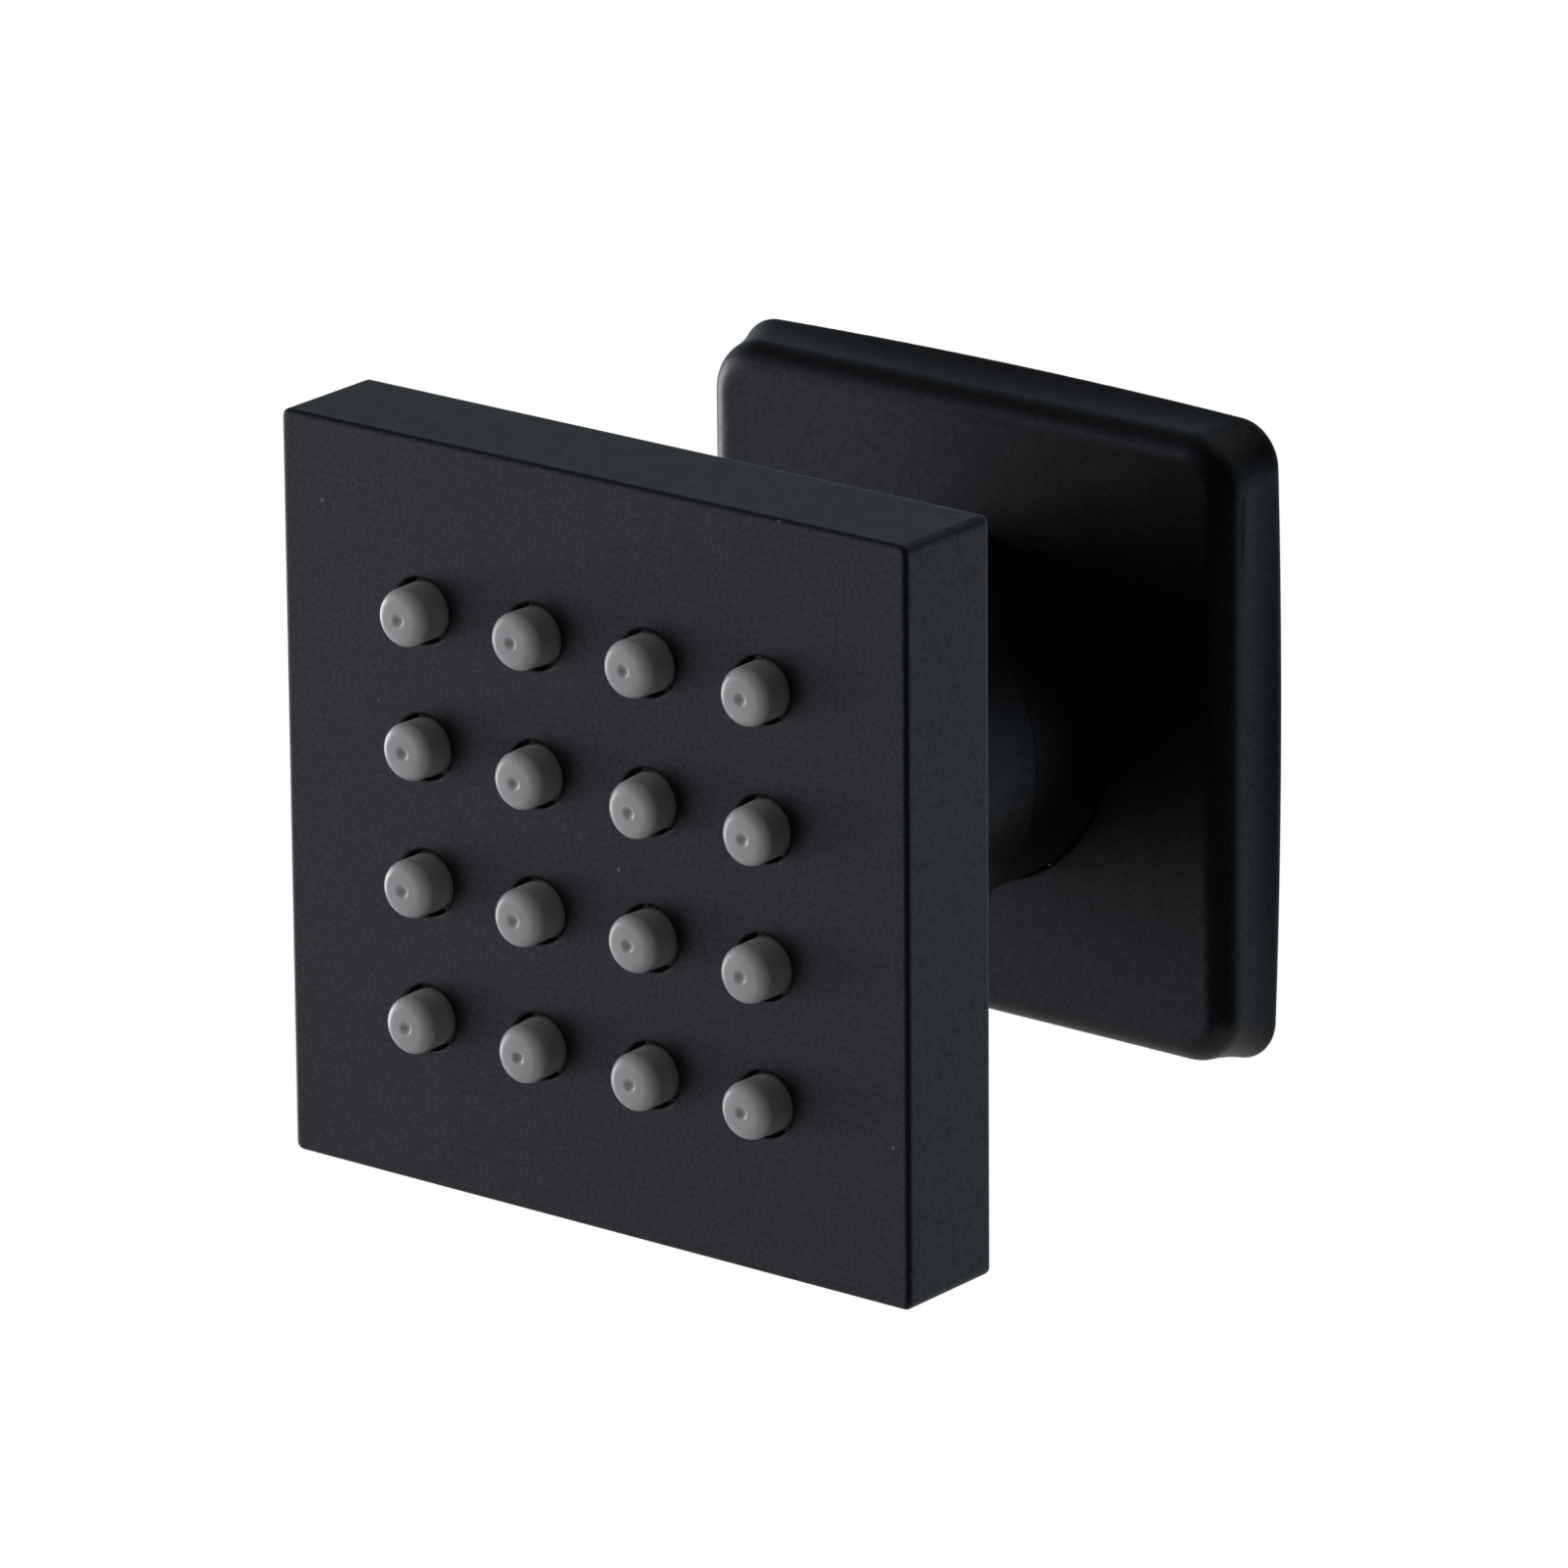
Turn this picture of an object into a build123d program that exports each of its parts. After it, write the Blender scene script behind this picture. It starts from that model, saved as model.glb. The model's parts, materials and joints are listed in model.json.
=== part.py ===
"""Square wall shower head on a ball joint, with a pressed wall flange.

Origin: centre of the inlet, on the wall. +Z is up and the head looks along -Y.
Every "..._at" value is a distance in front of the wall, in millimetres.
"""

import os
from math import cos, radians, sin, sqrt

from build123d import *

os.makedirs("parts", exist_ok=True)

# Head
head_width = 55.0
head_depth = 9.3
face_at = 48.0
head_corner_round = 0.6
head_edge_round = 0.35
head_side_wall = 2.0
head_face_wall = 1.8

# Nozzles
nozzle_rows = 4
nozzle_margin = 12.5
nozzle_radius = 2.1
nozzle_reach = 2.5
nozzle_tip_round = 0.9
nozzle_hole_gap = 0.35
nozzle_channel_radius = 1.2
nozzle_outlet_radius = 0.42
nozzle_outlet_length = 1.2
mat_thickness = 1.2

# Inside of the head
insert_gap = 0.2
plate_thickness = 1.5
plate_rim_width = 2.0
plate_port_radius = 1.0
gasket_thickness = 0.8
cover_thickness = 2.5
cover_edge_chamfer = 0.3

# Screws of the rear cover
screw_radius = 1.25
screw_length = 4.5
screw_head_radius = 2.1
screw_head_height = 1.3
screw_head_sink = 0.2
screw_edge_web = 1.0
screw_gap = 0.1
screw_socket_radius = 1.0
screw_socket_depth = 0.8
screw_hole_spare = 0.5

# Ball joint
ball_radius = 9.0
ball_sink = 0.8
joint_gap = 0.1
cup_wall = 1.2
cup_front_angle = 66.0
cup_rear_angle = 110.0
cup_slit_width = 1.0
lip_angle = 62.0
lip_thickness = 0.8
rear_seat_height = 1.8
rear_seat_bore_radius = 5.0

# Stem of the ball
stem_radius = 5.2
stem_bore_radius = 3.2
stem_length = 9.7
hex_across_flats = 17.0
hex_thickness = 1.6
stem_thread_radius = 6.0
boss_wall = 1.8

# Housing, nut and inlet
housing_shoulder = 1.0
housing_edge_chamfer = 0.3
seam_at = 14.5
socket_wall = 1.4
socket_gap = 0.2
socket_setback = 2.5
socket_floor_wall = 1.4
thread_gap = 0.1
nut_wall = 1.5
nut_nose_round = 2.6
housing_bore_radius = 4.5
inlet_thread_radius = 9.316
inlet_thread_length = 9.4
inlet_relief = 0.75
flats_width = 24.0

# Seals
seal_gap = 0.05
ball_ring_radius = 0.8
nut_seal_height = 1.8
stem_seal_width = 1.6
stem_seal_height = 1.3
regulator_ring_radius = 0.55
seal_corner_round = 0.45

# Inlet pieces
washer_thickness = 1.8
washer_bore_radius = 5.8
washer_gap = 0.12
strainer_radius = 7.2
strainer_thickness = 0.6
strainer_hole_radius = 0.45
strainer_ring_step = 1.65
strainer_rings = 3
regulator_radius = 6.2
regulator_thickness = 2.6
regulator_port_radius = 0.6
regulator_port_circle = 3.2
regulator_ports = 8
regulator_clearance = 0.1

# Wall flange
flange_rim_width = 48.95
flange_plateau_width = 46.8
flange_depth = 5.5
flange_rim_bow = 0.6
flange_flare_share = 0.06
flange_rim_corner = 3.2
flange_plateau_corner = 4.4
flange_front_round = 2.0
flange_rim_round = 0.35
flange_wall = 1.0
flange_hole_gap = 0.1
grip_ring_wall = 1.2
grip_ring_gap = 0.05
grip_ring_length = 2.2

# Places along the axis, from the face back into the head
head_back_at = face_at - head_depth
cavity_floor_at = face_at - head_face_wall
mat_back_at = cavity_floor_at - mat_thickness
plate_back_at = mat_back_at - plate_thickness
cover_front_at = head_back_at + cover_thickness
gasket_front_at = cover_front_at + gasket_thickness
nozzle_tip_at = face_at + nozzle_reach
screw_seat_at = head_back_at + screw_head_sink + screw_head_height

# Places along the axis, from the wall out to the head
washer_front_at = inlet_thread_length + washer_thickness
strainer_front_at = washer_front_at + strainer_thickness
regulator_front_at = strainer_front_at + regulator_thickness
socket_floor_at = regulator_front_at + socket_floor_wall
rear_seat_front_at = socket_floor_at + rear_seat_height
ball_at = socket_floor_at - ball_sink + ball_radius
socket_end_at = ball_at - socket_setback
nut_shoulder_at = socket_end_at + nut_seal_height
hex_back_at = ball_at + stem_length
boss_back_at = hex_back_at + hex_thickness
stem_seal_front_at = boss_back_at + stem_seal_height

# Radii and half sizes
nozzle_pitch = (head_width - 2 * nozzle_margin) / (nozzle_rows - 1)
cavity_half = head_width / 2 - head_side_wall
insert_half = cavity_half - insert_gap
counterbore_radius = screw_head_radius + screw_gap
screw_offset = insert_half - screw_edge_web - counterbore_radius
corner_block = 2 * (cavity_half - screw_offset)
cup_inner_radius = ball_radius + joint_gap
cup_outer_radius = cup_inner_radius + cup_wall
socket_sphere_radius = cup_outer_radius + joint_gap
socket_radius = socket_sphere_radius + socket_gap
socket_thread_radius = socket_radius + socket_wall
housing_radius = socket_thread_radius + housing_shoulder
nut_thread_radius = socket_thread_radius + thread_gap
nut_radius = nut_thread_radius + nut_wall
boss_thread_radius = stem_thread_radius + thread_gap
stem_gland_radius = stem_thread_radius + stem_seal_width + 2 * seal_gap
boss_radius = stem_gland_radius + boss_wall
regulator_pocket_radius = regulator_radius + regulator_clearance
grip_ring_inner_radius = housing_radius + grip_ring_gap
grip_ring_outer_radius = grip_ring_inner_radius + grip_ring_wall
collar_radius = grip_ring_outer_radius + grip_ring_gap
grip_ring_front_at = flange_depth - flange_wall
grip_ring_back_at = grip_ring_front_at - grip_ring_length

# Half sections are drawn as (radius, distance in front of the wall) and turned about the axis
section_plane = Plane(origin=(0, 0, 0), x_dir=(1, 0, 0), z_dir=(0, 0, -1))


def on_ball(radius, angle):
    """Point of a sphere about the ball's centre, at an angle from the forward axis."""
    return (radius * sin(radians(angle)), ball_at + radius * cos(radians(angle)))


def ball_reach(radius, axis_distance):
    """How far along the axis a sphere about the ball's centre reaches at a distance from the axis."""
    return sqrt(radius**2 - axis_distance**2)


def notched_square(half, notch):
    """Square with a square notch at each corner, where the head's corner blocks stand."""
    Rectangle(2 * half, 2 * (half - notch))
    Rectangle(2 * (half - notch), 2 * half)


def insert_outline():
    """Outline of the flat pieces that lie in the head's cavity."""
    notched_square(insert_half, corner_block)


def washer_section(inner, outer, back_at, front_at, corner=0.0):
    """Half section of a ring with flat ends."""
    with Locations(((inner + outer) / 2, (back_at + front_at) / 2)):
        Rectangle(outer - inner, front_at - back_at)
    if corner:
        fillet(vertices(), radius=corner)


def nozzle_grid():
    """Places of the nozzles on the face."""
    return GridLocations(nozzle_pitch, nozzle_pitch, nozzle_rows, nozzle_rows)


def screw_grid():
    """Places of the rear cover's screws."""
    return GridLocations(2 * screw_offset, 2 * screw_offset, 2, 2)


def bowed_square(half, bow, corner):
    """Rounded square whose sides bow outwards."""
    end = half - bow
    with BuildLine() as outline:
        ThreePointArc((-end, end), (0, half), (end, end))
        ThreePointArc((end, end), (half, 0), (end, -end))
        ThreePointArc((end, -end), (0, -half), (-end, -end))
        ThreePointArc((-end, -end), (-half, 0), (-end, end))
    make_face(outline.edges())
    fillet(vertices(), radius=corner)


def pressed_form(inset):
    """Flaring body of the flange, or its hollow when inset by the wall.

    A share of the flare and of the bow is left halfway to the plateau.
    """
    reach = flange_depth - inset
    rim_half = flange_rim_width / 2 - inset
    plateau_half = flange_plateau_width / 2 - inset
    middle_half = plateau_half + flange_flare_share * (rim_half - plateau_half)
    rim_corner = flange_rim_corner - inset
    plateau_corner = flange_plateau_corner - inset
    with BuildSketch(Plane.XZ) as rim:
        bowed_square(rim_half, flange_rim_bow, rim_corner)
    with BuildSketch(Plane.XZ.offset(reach / 2)) as middle:
        bowed_square(middle_half, flange_flare_share * flange_rim_bow, (rim_corner + plateau_corner) / 2)
    with BuildSketch(Plane.XZ.offset(reach)) as plateau:
        RectangleRounded(2 * plateau_half, 2 * plateau_half, plateau_corner)
    loft([rim.sketch, middle.sketch, plateau.sketch])
    fillet(edges().group_by(Axis.Y)[0], radius=flange_front_round - inset)


# Spray shell: face, sides and corner blocks of the head
with BuildPart() as spray_shell:
    with BuildSketch(Plane.XZ.offset(head_back_at)):
        RectangleRounded(head_width, head_width, head_corner_round)
    extrude(amount=head_depth)
    fillet(edges().group_by(Axis.Y)[0] + edges().group_by(Axis.Y)[-1], radius=head_edge_round)
    with BuildSketch(Plane.XZ.offset(head_back_at)):
        Rectangle(2 * cavity_half, 2 * cavity_half)
    extrude(amount=cover_thickness, mode=Mode.SUBTRACT)
    with BuildSketch(Plane.XZ.offset(cover_front_at)):
        notched_square(cavity_half, corner_block)
    extrude(amount=cavity_floor_at - cover_front_at, mode=Mode.SUBTRACT)
    with BuildSketch(Plane.XZ.offset(cavity_floor_at)):
        with nozzle_grid():
            Circle(nozzle_radius + nozzle_hole_gap)
    extrude(amount=head_face_wall, mode=Mode.SUBTRACT)
    with BuildSketch(Plane.XZ.offset(cover_front_at)):
        with screw_grid():
            Circle(screw_radius + screw_gap)
    extrude(amount=screw_seat_at + screw_length + screw_hole_spare - cover_front_at, mode=Mode.SUBTRACT)

# Nozzle mat: one soft moulding, a sheet with a hollow nozzle for each hole of the face
with BuildPart() as nozzle_mat:
    with BuildSketch(Plane.XZ.offset(mat_back_at)):
        insert_outline()
    extrude(amount=mat_thickness)
    with BuildSketch(Plane.XZ.offset(cavity_floor_at)):
        with nozzle_grid():
            Circle(nozzle_radius)
    extrude(amount=nozzle_tip_at - cavity_floor_at)
    fillet(edges().group_by(Axis.Y)[0], radius=nozzle_tip_round)
    with BuildSketch(Plane.XZ.offset(mat_back_at)):
        with nozzle_grid():
            Circle(nozzle_channel_radius)
    extrude(amount=nozzle_tip_at - nozzle_outlet_length - mat_back_at, mode=Mode.SUBTRACT)
    with BuildSketch(Plane.XZ.offset(mat_back_at)):
        with nozzle_grid():
            Circle(nozzle_outlet_radius)
    extrude(amount=nozzle_tip_at - mat_back_at, mode=Mode.SUBTRACT)

# Distributor plate: presses the mat against the face and feeds each nozzle
with BuildPart() as distributor_plate:
    with BuildSketch(Plane.XZ.offset(gasket_front_at)):
        insert_outline()
        offset(amount=-plate_rim_width, kind=Kind.INTERSECTION, mode=Mode.SUBTRACT)
    extrude(amount=plate_back_at - gasket_front_at)
    with BuildSketch(Plane.XZ.offset(plate_back_at)):
        insert_outline()
        with nozzle_grid():
            Circle(plate_port_radius, mode=Mode.SUBTRACT)
    extrude(amount=plate_thickness)

# Cover gasket: frame between the plate's rim and the rear cover
with BuildPart() as cover_gasket:
    with BuildSketch(Plane.XZ.offset(cover_front_at)):
        insert_outline()
        offset(amount=-plate_rim_width, kind=Kind.INTERSECTION, mode=Mode.SUBTRACT)
    extrude(amount=gasket_thickness)

# Rear cover: closes the head and carries the threaded boss
with BuildPart() as rear_cover:
    with BuildSketch(Plane.XZ.offset(head_back_at)):
        Rectangle(2 * insert_half, 2 * insert_half)
    extrude(amount=cover_thickness)
    chamfer(edges().group_by(Axis.Y)[-1], length=cover_edge_chamfer)
    with BuildSketch(Plane.XZ.offset(boss_back_at)):
        Circle(boss_radius)
    extrude(amount=head_back_at - boss_back_at)
    with BuildSketch(Plane.XZ.offset(boss_back_at)):
        Circle(stem_gland_radius)
    extrude(amount=stem_seal_height, mode=Mode.SUBTRACT)
    with BuildSketch(Plane.XZ.offset(stem_seal_front_at)):
        Circle(boss_thread_radius)
    extrude(amount=cover_front_at - stem_seal_front_at, mode=Mode.SUBTRACT)
    with BuildSketch(Plane.XZ.offset(head_back_at)):
        with screw_grid():
            Circle(counterbore_radius)
    extrude(amount=screw_seat_at - head_back_at, mode=Mode.SUBTRACT)
    with BuildSketch(Plane.XZ.offset(screw_seat_at)):
        with screw_grid():
            Circle(screw_radius + screw_gap)
    extrude(amount=cover_front_at - screw_seat_at, mode=Mode.SUBTRACT)

# Cover screws: four screws with a hexagon socket
with BuildPart() as cover_screws:
    with BuildSketch(Plane.XZ.offset(head_back_at + screw_head_sink)):
        with screw_grid():
            Circle(screw_head_radius)
    extrude(amount=screw_head_height)
    with BuildSketch(Plane.XZ.offset(screw_seat_at)):
        with screw_grid():
            Circle(screw_radius)
    extrude(amount=screw_length)
    with BuildSketch(Plane.XZ.offset(head_back_at + screw_head_sink)):
        with screw_grid():
            RegularPolygon(screw_socket_radius, 6)
    extrude(amount=screw_socket_depth, mode=Mode.SUBTRACT)

# Ball stem: hollow ball, hexagon and thread in one turned piece
groove_half = ball_ring_radius + 2 * seal_gap
groove_floor = ball_radius - 2 * ball_ring_radius
groove_edge = ball_reach(ball_radius, groove_half)
with BuildPart() as ball_stem:
    with BuildSketch(section_plane):
        with BuildLine():
            back_pole = (stem_bore_radius, ball_at - ball_reach(ball_radius, stem_bore_radius))
            back_groove = (groove_edge, ball_at - groove_half)
            front_groove = (groove_edge, ball_at + groove_half)
            stem_start = (stem_radius, ball_at + ball_reach(ball_radius, stem_radius))
            RadiusArc(back_pole, back_groove, -ball_radius)
            Polyline(
                back_groove,
                (groove_floor, ball_at - groove_half),
                (groove_floor, ball_at + groove_half),
                front_groove,
            )
            RadiusArc(front_groove, stem_start, -ball_radius)
            Polyline(
                stem_start,
                (stem_radius, boss_back_at),
                (stem_thread_radius, boss_back_at),
                (stem_thread_radius, cover_front_at),
                (stem_bore_radius, cover_front_at),
                back_pole,
            )
        make_face()
    revolve(axis=Axis.Y)
    with BuildSketch(Plane.XZ.offset(hex_back_at)):
        RegularPolygon(hex_across_flats / 2, 6, major_radius=False)
        Circle(stem_bore_radius, mode=Mode.SUBTRACT)
    extrude(amount=hex_thickness)

# Stem seal: ring squeezed between the hexagon and the boss
with BuildPart() as stem_seal:
    with BuildSketch(section_plane):
        washer_section(
            stem_thread_radius + seal_gap,
            stem_gland_radius - seal_gap,
            boss_back_at,
            stem_seal_front_at,
            seal_corner_round,
        )
    revolve(axis=Axis.Y)

# Ball ring: O-ring in the groove round the ball
with BuildPart() as ball_o_ring:
    with BuildSketch(section_plane):
        with Locations((groove_floor + seal_gap + ball_ring_radius, ball_at)):
            Circle(ball_ring_radius)
    revolve(axis=Axis.Y)

# Ball cup: slit ring with a spherical inside and outside, in which the ball turns
with BuildPart() as ball_cup:
    with BuildSketch(section_plane):
        with BuildLine():
            RadiusArc(
                on_ball(cup_inner_radius, cup_rear_angle),
                on_ball(cup_inner_radius, cup_front_angle),
                -cup_inner_radius,
            )
            Line(on_ball(cup_inner_radius, cup_front_angle), on_ball(cup_outer_radius, cup_front_angle))
            RadiusArc(
                on_ball(cup_outer_radius, cup_front_angle),
                on_ball(cup_outer_radius, cup_rear_angle),
                cup_outer_radius,
            )
            Line(on_ball(cup_outer_radius, cup_rear_angle), on_ball(cup_inner_radius, cup_rear_angle))
        make_face()
    revolve(axis=Axis.Y)
    with BuildSketch(Plane.XZ.offset(ball_at)):
        with Locations((0, -cup_outer_radius)):
            Rectangle(cup_slit_width, cup_outer_radius)
    extrude(amount=cup_outer_radius, both=True, mode=Mode.SUBTRACT)

# Rear ball seat: ring on the housing's floor that carries the ball from behind
with BuildPart() as rear_ball_seat:
    seat_outer = socket_radius - insert_gap / 2
    seat_top = ball_reach(cup_inner_radius, ball_at - rear_seat_front_at)
    seat_bottom_at = ball_at - ball_reach(cup_inner_radius, rear_seat_bore_radius)
    with BuildSketch(section_plane):
        with BuildLine():
            Polyline(
                (rear_seat_bore_radius, seat_bottom_at),
                (rear_seat_bore_radius, socket_floor_at),
                (seat_outer, socket_floor_at),
                (seat_outer, rear_seat_front_at),
                (seat_top, rear_seat_front_at),
            )
            RadiusArc(
                (seat_top, rear_seat_front_at), (rear_seat_bore_radius, seat_bottom_at), cup_inner_radius
            )
        make_face()
    revolve(axis=Axis.Y)

# Nut seal: ring squeezed between the housing's end and the nut
with BuildPart() as nut_seal:
    with BuildSketch(section_plane):
        washer_section(
            socket_radius, nut_thread_radius - seal_gap, socket_end_at, nut_shoulder_at, seal_corner_round
        )
    revolve(axis=Axis.Y)

# Ball nut: round nut whose lip holds the cup and the ball
with BuildPart() as ball_nut:
    lip_inner = on_ball(socket_sphere_radius, lip_angle)
    nut_front_at = lip_inner[1] + lip_thickness
    nose_start_at = nut_front_at - nut_nose_round
    shoulder_inner = (
        ball_reach(socket_sphere_radius, ball_at - nut_shoulder_at),
        nut_shoulder_at,
    )
    with BuildSketch(section_plane):
        with BuildLine():
            Polyline(
                shoulder_inner,
                (nut_thread_radius, nut_shoulder_at),
                (nut_thread_radius, seam_at),
                (nut_radius - housing_edge_chamfer, seam_at),
                (nut_radius, seam_at + housing_edge_chamfer),
                (nut_radius, nose_start_at),
            )
            CenterArc((nut_radius - nut_nose_round, nose_start_at), nut_nose_round, 0, 90)
            Polyline(
                (nut_radius - nut_nose_round, nut_front_at),
                (lip_inner[0] + lip_thickness, nut_front_at),
                lip_inner,
            )
            RadiusArc(lip_inner, shoulder_inner, socket_sphere_radius)
        make_face()
    revolve(axis=Axis.Y)

# Housing: neck with the inlet thread behind and the ball's socket in front
with BuildPart() as housing:
    with BuildSketch(section_plane):
        with BuildLine():
            Polyline(
                (inlet_thread_radius, 0),
                (inlet_thread_radius, inlet_thread_length),
                (inlet_thread_radius + inlet_relief, inlet_thread_length),
                (inlet_thread_radius + inlet_relief, washer_front_at),
                (strainer_radius + regulator_clearance, washer_front_at),
                (strainer_radius + regulator_clearance, strainer_front_at),
                (regulator_pocket_radius, strainer_front_at),
                (regulator_pocket_radius, regulator_front_at),
                (housing_bore_radius, regulator_front_at),
                (housing_bore_radius, socket_floor_at),
                (socket_radius, socket_floor_at),
                (socket_radius, socket_end_at),
                (socket_thread_radius, socket_end_at),
                (socket_thread_radius, seam_at),
                (housing_radius - housing_edge_chamfer, seam_at),
                (housing_radius, seam_at - housing_edge_chamfer),
                (housing_radius, housing_edge_chamfer),
                (housing_radius - housing_edge_chamfer, 0),
                close=True,
            )
        make_face()
    revolve(axis=Axis.Y)
    with BuildSketch(Plane.XZ):
        Circle(2 * housing_radius)
        Rectangle(flats_width, 4 * housing_radius, mode=Mode.SUBTRACT)
    extrude(amount=grip_ring_back_at, mode=Mode.SUBTRACT)

# Inlet washer: flat ring that the supply pipe seals on
with BuildPart() as inlet_washer:
    with BuildSketch(section_plane):
        washer_section(
            washer_bore_radius, inlet_thread_radius - washer_gap, inlet_thread_length, washer_front_at
        )
    revolve(axis=Axis.Y)

# Inlet strainer: perforated disc in front of the washer
with BuildPart() as inlet_strainer:
    with BuildSketch(Plane.XZ.offset(washer_front_at)):
        Circle(strainer_radius)
        Circle(strainer_hole_radius, mode=Mode.SUBTRACT)
        for ring in range(1, strainer_rings + 1):
            with PolarLocations(ring * strainer_ring_step, 6 * ring):
                Circle(strainer_hole_radius, mode=Mode.SUBTRACT)
    extrude(amount=strainer_thickness)

# Flow regulator: disc with a circle of ports and a ring groove
regulator_groove_floor = regulator_pocket_radius - 2 * regulator_ring_radius - 2 * seal_gap
regulator_middle_at = (strainer_front_at + regulator_front_at) / 2
regulator_groove_width = 2 * regulator_ring_radius + 2 * seal_gap
with BuildPart() as flow_regulator:
    with BuildSketch(Plane.XZ.offset(strainer_front_at)):
        Circle(regulator_radius)
        with PolarLocations(regulator_port_circle, regulator_ports):
            Circle(regulator_port_radius, mode=Mode.SUBTRACT)
    extrude(amount=regulator_thickness)
    with BuildSketch(Plane.XZ.offset(regulator_middle_at)):
        Circle(2 * regulator_radius)
        Circle(regulator_groove_floor, mode=Mode.SUBTRACT)
    extrude(amount=regulator_groove_width / 2, both=True, mode=Mode.SUBTRACT)

# Regulator ring: O-ring in the regulator's groove
with BuildPart() as regulator_o_ring:
    with BuildSketch(section_plane):
        with Locations((regulator_groove_floor + seal_gap + regulator_ring_radius, regulator_middle_at)):
            Circle(regulator_ring_radius)
    revolve(axis=Axis.Y)

# Hollow of the flange, one wall inside its outer form
with BuildPart() as flange_hollow:
    pressed_form(flange_wall)

# Flange: pressed square cover with a collar round its hole
with BuildPart() as flange:
    pressed_form(0)
    fillet(edges().group_by(Axis.Y)[-1], radius=flange_rim_round)
    add(flange_hollow.part, mode=Mode.SUBTRACT)
    with BuildSketch(Plane.XZ.offset(grip_ring_back_at)):
        Circle(collar_radius + flange_wall)
    extrude(amount=flange_depth - flange_wall - grip_ring_back_at)
    with BuildSketch(Plane.XZ.offset(grip_ring_back_at)):
        Circle(collar_radius)
    extrude(amount=grip_ring_length, mode=Mode.SUBTRACT)
    with BuildSketch(Plane.XZ.offset(grip_ring_front_at)):
        Circle(housing_radius + flange_hole_gap)
    extrude(amount=flange_wall, mode=Mode.SUBTRACT)

# Grip ring: soft ring in the collar that holds the flange on the housing
with BuildPart() as flange_grip_ring:
    with BuildSketch(section_plane):
        washer_section(
            grip_ring_inner_radius,
            grip_ring_outer_radius,
            grip_ring_back_at,
            grip_ring_front_at,
            seal_corner_round,
        )
    revolve(axis=Axis.Y)

pieces = {
    "spray_shell": spray_shell,
    "nozzle_mat": nozzle_mat,
    "distributor_plate": distributor_plate,
    "cover_gasket": cover_gasket,
    "rear_cover": rear_cover,
    "cover_screws": cover_screws,
    "ball_stem": ball_stem,
    "stem_seal": stem_seal,
    "ball_o_ring": ball_o_ring,
    "ball_cup": ball_cup,
    "rear_ball_seat": rear_ball_seat,
    "nut_seal": nut_seal,
    "ball_nut": ball_nut,
    "housing": housing,
    "inlet_washer": inlet_washer,
    "inlet_strainer": inlet_strainer,
    "flow_regulator": flow_regulator,
    "regulator_o_ring": regulator_o_ring,
    "flange": flange,
    "flange_grip_ring": flange_grip_ring,
}
for label, piece in pieces.items():
    piece.part.label = label
    export_step(piece.part, f"parts/{label}.step")
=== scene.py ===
"""Looks of the square wall shower head: materials, soft nozzles, inlet thread, studio and camera.

The frame's origin is the inlet on the wall. +Z is up and the head looks along -Y.
"""

import json
import math
import random

import bmesh
import bpy
from mathutils import Matrix, Vector


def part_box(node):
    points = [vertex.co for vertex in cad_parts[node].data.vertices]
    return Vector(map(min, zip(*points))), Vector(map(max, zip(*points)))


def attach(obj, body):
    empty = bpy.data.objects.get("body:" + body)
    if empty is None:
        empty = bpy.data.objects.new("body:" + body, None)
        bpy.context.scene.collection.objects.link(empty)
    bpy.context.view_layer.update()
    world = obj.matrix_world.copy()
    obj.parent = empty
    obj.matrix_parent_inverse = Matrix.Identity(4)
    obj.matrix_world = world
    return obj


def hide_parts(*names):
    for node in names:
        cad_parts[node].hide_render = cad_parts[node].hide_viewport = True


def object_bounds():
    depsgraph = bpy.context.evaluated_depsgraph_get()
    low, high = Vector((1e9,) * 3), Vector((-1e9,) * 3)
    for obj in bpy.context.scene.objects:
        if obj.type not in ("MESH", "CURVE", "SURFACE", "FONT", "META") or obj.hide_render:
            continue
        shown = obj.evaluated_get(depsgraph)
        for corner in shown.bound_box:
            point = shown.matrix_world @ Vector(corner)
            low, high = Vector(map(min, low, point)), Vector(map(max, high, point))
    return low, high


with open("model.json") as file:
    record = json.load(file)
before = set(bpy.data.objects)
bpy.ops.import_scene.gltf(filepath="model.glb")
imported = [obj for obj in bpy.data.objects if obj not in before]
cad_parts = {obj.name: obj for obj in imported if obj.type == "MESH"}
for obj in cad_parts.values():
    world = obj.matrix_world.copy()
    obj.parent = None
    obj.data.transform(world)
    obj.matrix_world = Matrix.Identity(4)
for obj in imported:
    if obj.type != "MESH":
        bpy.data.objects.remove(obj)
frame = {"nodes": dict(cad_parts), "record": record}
cad_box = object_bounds()

MM = 0.001
WHITE = (1.0, 1.0, 1.0)
SMOOTH_UP_TO = math.radians(40)

# Nozzles, as on the CAD mat, with a domed crown and a dimple at the outlet
NOZZLE_ROWS = 4
NOZZLE_PITCH = 10.0 * MM
NOZZLE_RADIUS = 2.1 * MM
NOZZLE_SHOULDER = 0.85 * MM
NOZZLE_CROWN = math.radians(5)
NOZZLE_OUTLET_RADIUS = 0.6 * MM
NOZZLE_OUTLET_DEPTH = 0.28 * MM
NOZZLE_LEAN = 0.2 * MM
NOZZLE_SEED = 7
NOZZLE_SIDES = 40
BARREL_STEPS = 6
SHOULDER_STEPS = 12
CROWN_STEPS = 18
SHEET_THICKNESS = 1.2 * MM
CORNER_NOTCH = 6.9 * MM

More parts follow.
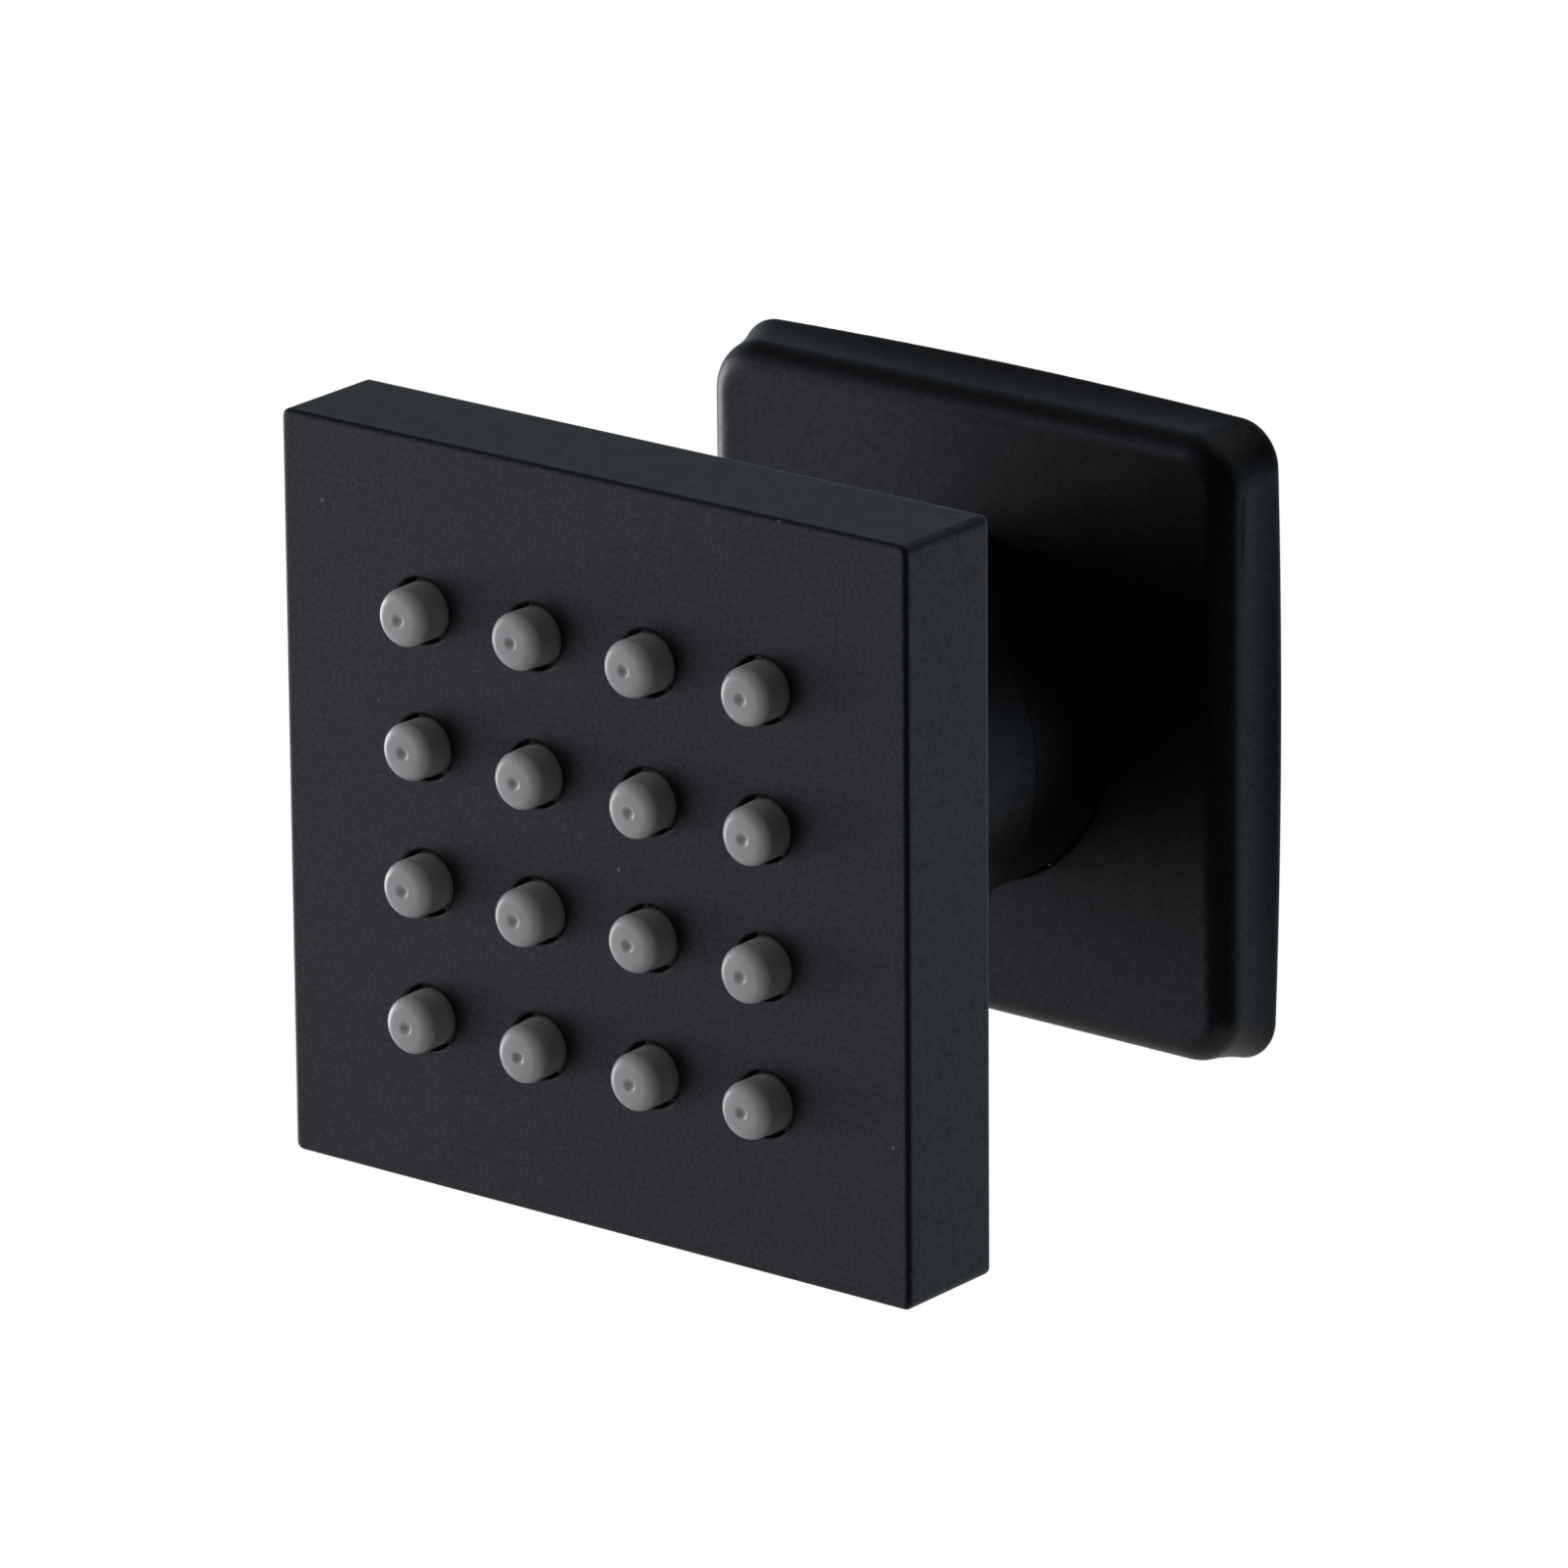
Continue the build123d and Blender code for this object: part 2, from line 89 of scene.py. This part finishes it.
# Inlet thread: G1/2. Its foot and its crest are half widths, as shares of the pitch
INCH_IN_MM = 25.4
THREADS_PER_INCH = 14
THREAD_PITCH = INCH_IN_MM / THREADS_PER_INCH * MM
THREAD_RADIUS = 9.316 * MM
THREAD_HEIGHT = 0.3 * MM
THREAD_LENGTH = 9.4 * MM
THREAD_STEPS = 48
THREAD_FOOT = 0.42
THREAD_CREST = 0.1
THREAD_FADES_PER_TURN = 3
THREAD_LEAST_HEIGHT = 0.05

# Softened edges of the coat and the satin; the head's edges widen behind its face
COAT_EDGE_FRONT = 0.4 * MM
COAT_EDGE_BACK = 0.6 * MM
COAT_EDGE_FROM = -45.0 * MM
COAT_EDGE_TO = -42.0 * MM
SATIN_EDGE_LEAST = 0.4 * MM
SATIN_EDGE_MOST = 0.5 * MM
EDGE_SAMPLES = 8
SPECK_STEP = 0.001

# Sockets of a colour Mix node, by index because its other data types use the same names
MIX_FACTOR = 0
MIX_FIRST = 6
MIX_SECOND = 7
MIX_RESULT = 2

# Camera of the photograph
CAMERA_PLACE = Vector((0.5362, -0.7103, 0.2882))
CAMERA_AIM = Vector((0.0092, -0.0382, 0.0045))
CAMERA_ROLL = math.radians(-0.44)
CAMERA_LENS = 298.3
CAMERA_SENSOR = 36.0

# Floor: small and pale, with a glow for the camera and a fainter one for reflections
FLOOR_DROP = 120.0 * MM
FLOOR_HALF = 200.0 * MM
FLOOR_TONE = 0.85
FLOOR_ROUGHNESS = 0.9
FLOOR_GLOW = 0.75
FLOOR_SHEEN = 0.35

# Surroundings in reflections: brighter in front, dimmer above, to the right and behind the camera
RISE_OF_BACK = 0.45
DIM_ABOVE = 0.37
DIM_ZENITH = 0.30
LIT_FRONT = 1.25
DIM_RIGHT = 0.85
DIM_CAMERA = 0.05
FRONT_LIGHT = (0.91, 0.91, 1.0)
BACK_LIGHT = (0.78, 0.905, 1.0)

# Diffuse light of the surroundings: white, from the front left and a little below
FILL_LIGHT = 1.3
FILL_FROM = (-0.72, -0.62, -0.30)

# Softboxes: name, place and side in metres, power in watts
SOFTBOXES = (
    ("softbox_left", (-0.94, -0.12, -0.12), 0.5, 5.0),
    ("softbox_top", (0.15, 0.35, 0.75), 0.9, 0.8),
)


def material(name):
    """New node material with its Principled shader."""
    made = bpy.data.materials.new(name)
    made.use_nodes = True
    tree = made.node_tree
    return made, tree, tree.nodes["Principled BSDF"]


def object_coordinates(tree):
    """Socket with the surface's place in metres."""
    return tree.nodes.new("ShaderNodeTexCoord").outputs["Object"]


def noise(tree, scale, detail=2.0, roughness=0.5):
    """Noise over the object, with the scale in features per metre."""
    made = tree.nodes.new("ShaderNodeTexNoise")
    made.inputs["Scale"].default_value = scale
    made.inputs["Detail"].default_value = detail
    made.inputs["Roughness"].default_value = roughness
    tree.links.new(object_coordinates(tree), made.inputs["Vector"])
    return made.outputs["Fac"]


def spread(tree, value, low, high, from_low=0.3, from_high=0.7):
    """Map a value onto a range; the range it comes from is by default that of noise."""
    made = tree.nodes.new("ShaderNodeMapRange")
    made.inputs["From Min"].default_value = from_low
    made.inputs["From Max"].default_value = from_high
    made.inputs["To Min"].default_value = low
    made.inputs["To Max"].default_value = high
    tree.links.new(value, made.inputs["Value"])
    return made.outputs["Result"]


def mottle(tree, scale, detail):
    """Mask that wanders between 0 and 1 over the object."""
    return spread(tree, noise(tree, scale, detail), 0.0, 1.0)


def vary(tree, socket, low, high, scale, detail=2.0, roughness=0.5):
    """Let a shader's value wander between two limits."""
    tree.links.new(spread(tree, noise(tree, scale, detail, roughness), low, high), socket)


def feed(tree, socket, value):
    """Give a socket a link, a colour or a number."""
    if isinstance(value, bpy.types.NodeSocket):
        tree.links.new(value, socket)
    elif isinstance(value, tuple):
        socket.default_value = (*value, 1.0)
    else:
        socket.default_value = value


def math_node(tree, operation, *values):
    """Arithmetic on sockets and numbers."""
    made = tree.nodes.new("ShaderNodeMath")
    made.operation = operation
    for socket, value in zip(made.inputs, values):
        feed(tree, socket, value)
    return made.outputs["Value"]


def blend(tree, factor, first, second, mode="MIX"):
    """Mix two colours; each is a socket or an RGB tuple."""
    made = tree.nodes.new("ShaderNodeMix")
    made.data_type = "RGBA"
    made.blend_type = mode
    feed(tree, made.inputs[MIX_FACTOR], factor)
    feed(tree, made.inputs[MIX_FIRST], first)
    feed(tree, made.inputs[MIX_SECOND], second)
    return made.outputs[MIX_RESULT]


def bump(tree, shader, height, strength, distance, edge=None):
    """Bump the shader's normal, softened along the edges where their width is given."""
    made = tree.nodes.new("ShaderNodeBump")
    if edge:
        soft = tree.nodes.new("ShaderNodeBevel")
        soft.samples = EDGE_SAMPLES
        tree.links.new(edge, soft.inputs["Radius"])
        tree.links.new(soft.outputs["Normal"], made.inputs["Normal"])
    made.inputs["Strength"].default_value = strength
    made.inputs["Distance"].default_value = distance
    tree.links.new(height, made.inputs["Height"])
    tree.links.new(made.outputs["Normal"], shader.inputs["Normal"])


def dust(tree, cells, share, size):
    """Mask of sparse specks: only a share of the cells holds one."""
    made = tree.nodes.new("ShaderNodeTexVoronoi")
    made.inputs["Scale"].default_value = cells
    tree.links.new(object_coordinates(tree), made.inputs["Vector"])
    near = spread(tree, made.outputs["Distance"], 1.0, 0.0, from_low=0.0, from_high=size)
    chosen = tree.nodes.new("ShaderNodeSeparateColor")
    tree.links.new(made.outputs["Color"], chosen.inputs["Color"])
    limit = 1.0 - share
    few = spread(tree, chosen.outputs["Red"], 0.0, 1.0, from_low=limit, from_high=limit + SPECK_STEP)
    return math_node(tree, "MULTIPLY", near, few)


def powder_coat():
    """Matt black powder coat: fine orange peel, faint mottle and a little dust."""
    made, tree, shader = material("black_powder_coat")
    patches = mottle(tree, scale=260, detail=4)
    colour = blend(tree, patches, (0.0018, 0.0021, 0.0026), (0.0022, 0.0026, 0.0031))
    grain = spread(tree, noise(tree, scale=2600), 0.75, 1.25)
    colour = blend(tree, 1.0, colour, grain, "MULTIPLY")
    specks = dust(tree, cells=420, share=0.09, size=0.08)
    colour = blend(tree, specks, colour, (0.12, 0.12, 0.115))
    tree.links.new(colour, shader.inputs["Base Color"])
    vary(tree, shader.inputs["Roughness"], 0.42, 0.46, scale=700, detail=3)
    vary(tree, shader.inputs["Specular IOR Level"], 0.24, 0.42, scale=3000, roughness=0.6)
    shader.inputs["Specular Tint"].default_value = (0.84, 0.91, 1.0, 1)
    place = tree.nodes.new("ShaderNodeSeparateXYZ")
    tree.links.new(object_coordinates(tree), place.inputs["Vector"])
    edge = spread(tree, place.outputs["Y"], COAT_EDGE_FRONT, COAT_EDGE_BACK, COAT_EDGE_FROM, COAT_EDGE_TO)
    peel = noise(tree, scale=2200, detail=3, roughness=0.6)
    bump(tree, shader, peel, strength=0.35, distance=0.02 * MM, edge=edge)
    return made


def satin_black():
    """Satin black of the pressed flange: smoother than the coat of the head."""
    made, tree, shader = material("black_satin")
    patches = mottle(tree, scale=180, detail=3)
    colour = blend(tree, patches, (0.0013, 0.0015, 0.0018), (0.0016, 0.0018, 0.0022))
    specks = dust(tree, cells=330, share=0.07, size=0.07)
    colour = blend(tree, specks, colour, (0.10, 0.10, 0.095))
    tree.links.new(colour, shader.inputs["Base Color"])
    vary(tree, shader.inputs["Roughness"], 0.38, 0.42, scale=420, detail=3)
    vary(tree, shader.inputs["Specular IOR Level"], 0.22, 0.34, scale=3000, roughness=0.6)
    shader.inputs["Specular Tint"].default_value = (0.84, 0.90, 1.0, 1)
    edge = spread(tree, patches, SATIN_EDGE_LEAST, SATIN_EDGE_MOST)
    peel = noise(tree, scale=2200, detail=3, roughness=0.6)
    bump(tree, shader, peel, strength=0.25, distance=0.02 * MM, edge=edge)
    return made


def silicone():
    """Soft grey silicone of the nozzles."""
    made, tree, shader = material("grey_silicone")
    patches = mottle(tree, scale=450, detail=3)
    colour = blend(tree, patches, (0.265, 0.270, 0.277), (0.300, 0.305, 0.312))
    specks = dust(tree, cells=900, share=0.06, size=0.12)
    colour = blend(tree, specks, colour, (0.34, 0.34, 0.33))
    tree.links.new(colour, shader.inputs["Base Color"])
    vary(tree, shader.inputs["Roughness"], 0.32, 0.40, scale=800)
    shader.inputs["Subsurface Weight"].default_value = 0.85
    shader.inputs["Subsurface Radius"].default_value = (1.2, 1.2, 1.2)
    shader.inputs["Subsurface Scale"].default_value = MM
    bump(tree, shader, noise(tree, scale=2600), strength=0.15, distance=0.01 * MM)
    return made


def rubber():
    """Black rubber of the seals."""
    made, tree, shader = material("black_rubber")
    patches = mottle(tree, scale=600, detail=3)
    colour = blend(tree, patches, (0.012, 0.012, 0.012), (0.022, 0.022, 0.021))
    tree.links.new(colour, shader.inputs["Base Color"])
    vary(tree, shader.inputs["Roughness"], 0.55, 0.7, scale=900)
    bump(tree, shader, noise(tree, scale=3000), strength=0.2, distance=0.01 * MM)
    return made


def acetal():
    """White moulded acetal of the cup, seats and plates inside."""
    made, tree, shader = material("white_acetal")
    patches = mottle(tree, scale=300, detail=2)
    colour = blend(tree, patches, (0.70, 0.70, 0.67), (0.78, 0.78, 0.75))
    tree.links.new(colour, shader.inputs["Base Color"])
    vary(tree, shader.inputs["Roughness"], 0.35, 0.45, scale=500)
    bump(tree, shader, noise(tree, scale=1800), strength=0.1, distance=0.01 * MM)
    return made


def stainless():
    """Stainless steel of the screws and the strainer."""
    made, tree, shader = material("stainless")
    patches = mottle(tree, scale=500, detail=4)
    colour = blend(tree, patches, (0.50, 0.50, 0.49), (0.60, 0.60, 0.59))
    tree.links.new(colour, shader.inputs["Base Color"])
    vary(tree, shader.inputs["Roughness"], 0.25, 0.4, scale=1500, detail=3)
    shader.inputs["Metallic"].default_value = 1.0
    bump(tree, shader, noise(tree, scale=4000), strength=0.1, distance=0.005 * MM)
    return made


def brass():
    """Turned brass of the ball and its stem, with fine tool marks round the axis."""
    made, tree, shader = material("brass")
    patches = mottle(tree, scale=240, detail=3)
    colour = blend(tree, patches, (0.66, 0.46, 0.19), (0.75, 0.55, 0.25))
    tree.links.new(colour, shader.inputs["Base Color"])
    shader.inputs["Metallic"].default_value = 1.0
    vary(tree, shader.inputs["Roughness"], 0.22, 0.34, scale=900, detail=3)
    marks = tree.nodes.new("ShaderNodeTexWave")
    marks.bands_direction = "Y"
    marks.inputs["Scale"].default_value = 900
    marks.inputs["Distortion"].default_value = 0.5
    tree.links.new(object_coordinates(tree), marks.inputs["Vector"])
    bump(tree, shader, marks.outputs["Fac"], strength=0.15, distance=0.01 * MM)
    return made


def add_object(name, data):
    """New object in the scene."""
    made = bpy.data.objects.new(name, data)
    bpy.context.scene.collection.objects.link(made)
    return made


def mesh_object(name, shape):
    """Object from a finished bmesh, shaded smooth except at sharp edges."""
    bmesh.ops.recalc_face_normals(shape, faces=shape.faces)
    mesh = bpy.data.meshes.new(name)
    shape.to_mesh(mesh)
    shape.free()
    made = add_object(name, mesh)
    mesh.shade_smooth()
    mesh.set_sharp_from_angle(angle=SMOOTH_UP_TO)
    return made


def skin(shape, rings):
    """Join closed rings of points, each to the next, and cap both ends."""
    for first, second in zip(rings, rings[1:]):
        for step in range(len(first)):
            after = (step + 1) % len(first)
            shape.faces.new((first[step], first[after], second[after], second[step]))
    shape.faces.new(rings[0])
    shape.faces.new(rings[-1])


def lathe(shape, profile, centre, lean, sides):
    """Turn (radius, height) points about -Y, with the shape leaning more towards its tip."""
    rings = []
    base = profile[0][1]
    tip = max(height for _, height in profile)
    for radius, height in profile:
        share = ((height - base) / (tip - base)) ** 2
        ring = []
        for step in range(sides):
            turn = 2 * math.pi * step / sides
            x = centre[0] + lean[0] * share + radius * math.cos(turn)
            z = centre[1] + lean[1] * share + radius * math.sin(turn)
            ring.append(shape.verts.new((x, -height, z)))
        rings.append(ring)
    skin(shape, rings)


def nozzle_profile(base, tip):
    """Outline of a soft nozzle: barrel, round shoulder and a domed crown with a dimple at the outlet."""
    shoulder_at = NOZZLE_RADIUS - NOZZLE_SHOULDER
    crown_edge = shoulder_at + NOZZLE_SHOULDER * math.sin(NOZZLE_CROWN)
    crown_radius = crown_edge / math.sin(NOZZLE_CROWN)
    crown_rise = crown_radius * (1 - math.cos(NOZZLE_CROWN))
    barrel_end = tip - crown_rise - NOZZLE_SHOULDER * math.cos(NOZZLE_CROWN)
    points = []
    for step in range(BARREL_STEPS):
        points.append((NOZZLE_RADIUS, base + (barrel_end - base) * step / BARREL_STEPS))
    for step in range(SHOULDER_STEPS + 1):
        turn = (math.pi / 2 - NOZZLE_CROWN) * step / SHOULDER_STEPS
        radius = shoulder_at + NOZZLE_SHOULDER * math.cos(turn)
        points.append((radius, barrel_end + NOZZLE_SHOULDER * math.sin(turn)))
    # The last ring stays half a step wide, so that one small face closes the crown
    for step in range(1, CROWN_STEPS + 1):
        radius = crown_edge * (1 - step / (CROWN_STEPS + 0.5))
        height = tip - crown_radius + math.sqrt(crown_radius ** 2 - radius ** 2)
        dimple = 0.5 + 0.5 * math.cos(math.pi * min(radius / NOZZLE_OUTLET_RADIUS, 1.0))
        points.append((radius, height - NOZZLE_OUTLET_DEPTH * dimple))
    return points


def soft_nozzles():
    """Nozzle mat as one soft moulding whose nozzles lean a little, as worn silicone does."""
    low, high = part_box("nozzle_mat")
    half = high[0]
    inner = half - CORNER_NOTCH
    back, tip = -high[1], -low[1]
    front = back + SHEET_THICKNESS
    outline = []
    for x_sign, z_sign in ((1, 1), (-1, 1), (-1, -1), (1, -1)):
        corner = [(half, inner), (inner, inner), (inner, half)]
        if x_sign * z_sign < 0:
            corner.reverse()
        outline += [(x * x_sign, z * z_sign) for x, z in corner]
    shape = bmesh.new()
    sheet = shape.faces.new([shape.verts.new((x, -back, z)) for x, z in outline])
    grown = bmesh.ops.extrude_face_region(shape, geom=[sheet])["geom"]
    moved = [item for item in grown if isinstance(item, bmesh.types.BMVert)]
    bmesh.ops.translate(shape, verts=moved, vec=(0, back - front, 0))
    chance = random.Random(NOZZLE_SEED)
    profile = nozzle_profile(front, tip)
    first = -NOZZLE_PITCH * (NOZZLE_ROWS - 1) / 2
    for row in range(NOZZLE_ROWS):
        for column in range(NOZZLE_ROWS):
            centre = (first + column * NOZZLE_PITCH, first + row * NOZZLE_PITCH)
            lean = (chance.uniform(-NOZZLE_LEAN, NOZZLE_LEAN), chance.uniform(-NOZZLE_LEAN, NOZZLE_LEAN))
            lathe(shape, profile, centre, lean, NOZZLE_SIDES)
    made = mesh_object("soft_nozzles", shape)
    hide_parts("nozzle_mat")
    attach(made, "head")
    return made


def inlet_thread():
    """Crest of the inlet's thread: a helix on the wall of the hole, half a pitch clear of both its ends."""
    shape = bmesh.new()
    turns = THREAD_LENGTH / THREAD_PITCH - 1.0
    count = int(turns * THREAD_STEPS)
    rings = []
    for step in range(count + 1):
        turn = 2 * math.pi * step / THREAD_STEPS
        middle = THREAD_PITCH / 2 + turn / (2 * math.pi) * THREAD_PITCH
        from_end = min(step, count - step)
        fade = min(1.0, from_end / THREAD_STEPS * THREAD_FADES_PER_TURN)
        crest = THREAD_RADIUS - THREAD_HEIGHT * max(fade, THREAD_LEAST_HEIGHT)
        section = (
            (THREAD_RADIUS, -THREAD_FOOT),
            (crest, -THREAD_CREST),
            (crest, THREAD_CREST),
            (THREAD_RADIUS, THREAD_FOOT),
        )
        ring = []
        for radius, along in section:
            height = middle + along * THREAD_PITCH
            ring.append(shape.verts.new((radius * math.cos(turn), -height, radius * math.sin(turn))))
        rings.append(ring)
    skin(shape, rings)
    made = mesh_object("inlet_thread", shape)
    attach(made, "wall_side")
    return made


def dress(piece, finish):
    """Give a piece one material."""
    piece.data.materials.clear()
    piece.data.materials.append(finish)


def seen_rays(tree, path):
    """Rays that show the studio itself: camera rays and what passes through a piece."""
    return math_node(tree, "MAXIMUM", path.outputs["Is Camera Ray"], path.outputs["Is Transmission Ray"])


def pale_floor():
    """Pale floor below the head, lifted by a glow so that it stays nearly white."""
    level = cad_box[0][2] - FLOOR_DROP
    corners = ((-1, -1), (1, -1), (1, 1), (-1, 1))
    floor_mesh = bpy.data.meshes.new("floor")
    floor_mesh.from_pydata([(x * FLOOR_HALF, y * FLOOR_HALF, level) for x, y in corners], [], [(0, 1, 2, 3)])
    floor = add_object("floor", floor_mesh)
    finish, tree, shader = material("pale_floor")
    shader.inputs["Base Color"].default_value = (FLOOR_TONE, FLOOR_TONE, FLOOR_TONE, 1)
    shader.inputs["Roughness"].default_value = FLOOR_ROUGHNESS
    shader.inputs["Specular IOR Level"].default_value = 0.0
    path = tree.nodes.new("ShaderNodeLightPath")
    glow = tree.nodes.new("ShaderNodeEmission")
    both = tree.nodes.new("ShaderNodeAddShader")
    sheen = math_node(tree, "MULTIPLY", path.outputs["Is Glossy Ray"], FLOOR_SHEEN)
    strength = math_node(tree, "MULTIPLY_ADD", seen_rays(tree, path), FLOOR_GLOW, sheen)
    tree.links.new(strength, glow.inputs["Strength"])
    tree.links.new(shader.outputs["BSDF"], both.inputs[0])
    tree.links.new(glow.outputs["Emission"], both.inputs[1])
    tree.links.new(both.outputs["Shader"], tree.nodes["Material Output"].inputs["Surface"])
    dress(floor, finish)


def reflected_light(tree, right, back, up):
    """How bright the surroundings are in reflections, from the three shares of a direction."""
    to_camera = (CAMERA_PLACE - CAMERA_AIM).xy.normalized()
    across = math_node(tree, "MULTIPLY", right, to_camera.x)
    towards = math_node(tree, "MULTIPLY_ADD", back, to_camera.y, across)
    rising = math_node(tree, "MULTIPLY_ADD", back, RISE_OF_BACK, up)
    factors = (
        spread(tree, up, 1.0, DIM_ZENITH, from_low=0.25, from_high=0.8),
        spread(tree, back, LIT_FRONT, 1.0, from_low=-0.6, from_high=-0.2),
        spread(tree, right, 1.0, DIM_RIGHT, from_low=-0.1, from_high=0.4),
        spread(tree, towards, 1.0, DIM_CAMERA, from_low=0.25, from_high=0.55),
    )
    reflected = spread(tree, rising, 1.0, DIM_ABOVE, from_low=-0.1, from_high=0.6)
    for factor in factors:
        reflected = math_node(tree, "MULTIPLY", reflected, factor)
    return reflected


def surroundings():
    """World: plain white to the camera, graded and cool in reflections, one-sided for diffuse light."""
    world = bpy.data.worlds.new("white_surroundings")
    bpy.context.scene.world = world
    world.use_nodes = True
    tree = world.node_tree
    around = tree.nodes["Background"]
    path = tree.nodes.new("ShaderNodeLightPath")
    heading = tree.nodes.new("ShaderNodeTexCoord").outputs["Generated"]
    direction = tree.nodes.new("ShaderNodeSeparateXYZ")
    tree.links.new(heading, direction.inputs["Vector"])
    right, back, up = (direction.outputs[axis] for axis in "XYZ")
    facing = tree.nodes.new("ShaderNodeVectorMath")
    facing.operation = "DOT_PRODUCT"
    tree.links.new(heading, facing.inputs[0])
    facing.inputs[1].default_value = FILL_FROM
    fill = spread(tree, facing.outputs["Value"], 0.0, FILL_LIGHT, from_low=-0.25, from_high=1.0)
    diffuse = math_node(tree, "MULTIPLY", path.outputs["Is Diffuse Ray"], fill)
    reflected = reflected_light(tree, right, back, up)
    lit = math_node(tree, "MULTIPLY_ADD", path.outputs["Is Glossy Ray"], reflected, diffuse)
    seen = seen_rays(tree, path)
    tree.links.new(math_node(tree, "MAXIMUM", lit, seen), around.inputs["Strength"])
    depth = spread(tree, back, 0.0, 1.0, from_low=-0.3, from_high=0.5)
    cool = blend(tree, depth, FRONT_LIGHT, BACK_LIGHT)
    plain = math_node(tree, "MAXIMUM", seen, path.outputs["Is Diffuse Ray"])
    tree.links.new(blend(tree, plain, cool, WHITE), around.inputs["Color"])


def softbox(name, place, size, power):
    """Square lamp aimed at the head."""
    data = bpy.data.lights.new(name, "AREA")
    data.size = size
    data.energy = power
    made = add_object(name, data)
    made.location = place
    made.rotation_euler = (CAMERA_AIM - Vector(place)).to_track_quat("-Z", "Y").to_euler()


def camera():
    """Camera at the photograph's place, with its small roll."""
    data = bpy.data.cameras.new("camera")
    data.sensor_width = CAMERA_SENSOR
    data.lens = CAMERA_LENS
    made = add_object("camera", data)
    look = (CAMERA_AIM - CAMERA_PLACE).to_track_quat("-Z", "Y").to_matrix().to_4x4()
    made.matrix_world = Matrix.Translation(CAMERA_PLACE) @ look @ Matrix.Rotation(CAMERA_ROLL, 4, "Z")
    bpy.context.scene.camera = made


finishes = {
    "black_powder_coat": powder_coat(),
    "black_satin": satin_black(),
    "grey_silicone": silicone(),
    "black_rubber": rubber(),
    "white_acetal": acetal(),
    "stainless": stainless(),
    "brass": brass(),
}
for entry in frame["record"]["subparts"]:
    dress(frame["nodes"][entry["node"]], finishes[entry["material_slot"]])
dress(soft_nozzles(), finishes["grey_silicone"])
dress(inlet_thread(), finishes["black_satin"])
pale_floor()
surroundings()
for row in SOFTBOXES:
    softbox(*row)
camera()

bpy.context.scene.view_settings.view_transform = "Standard"
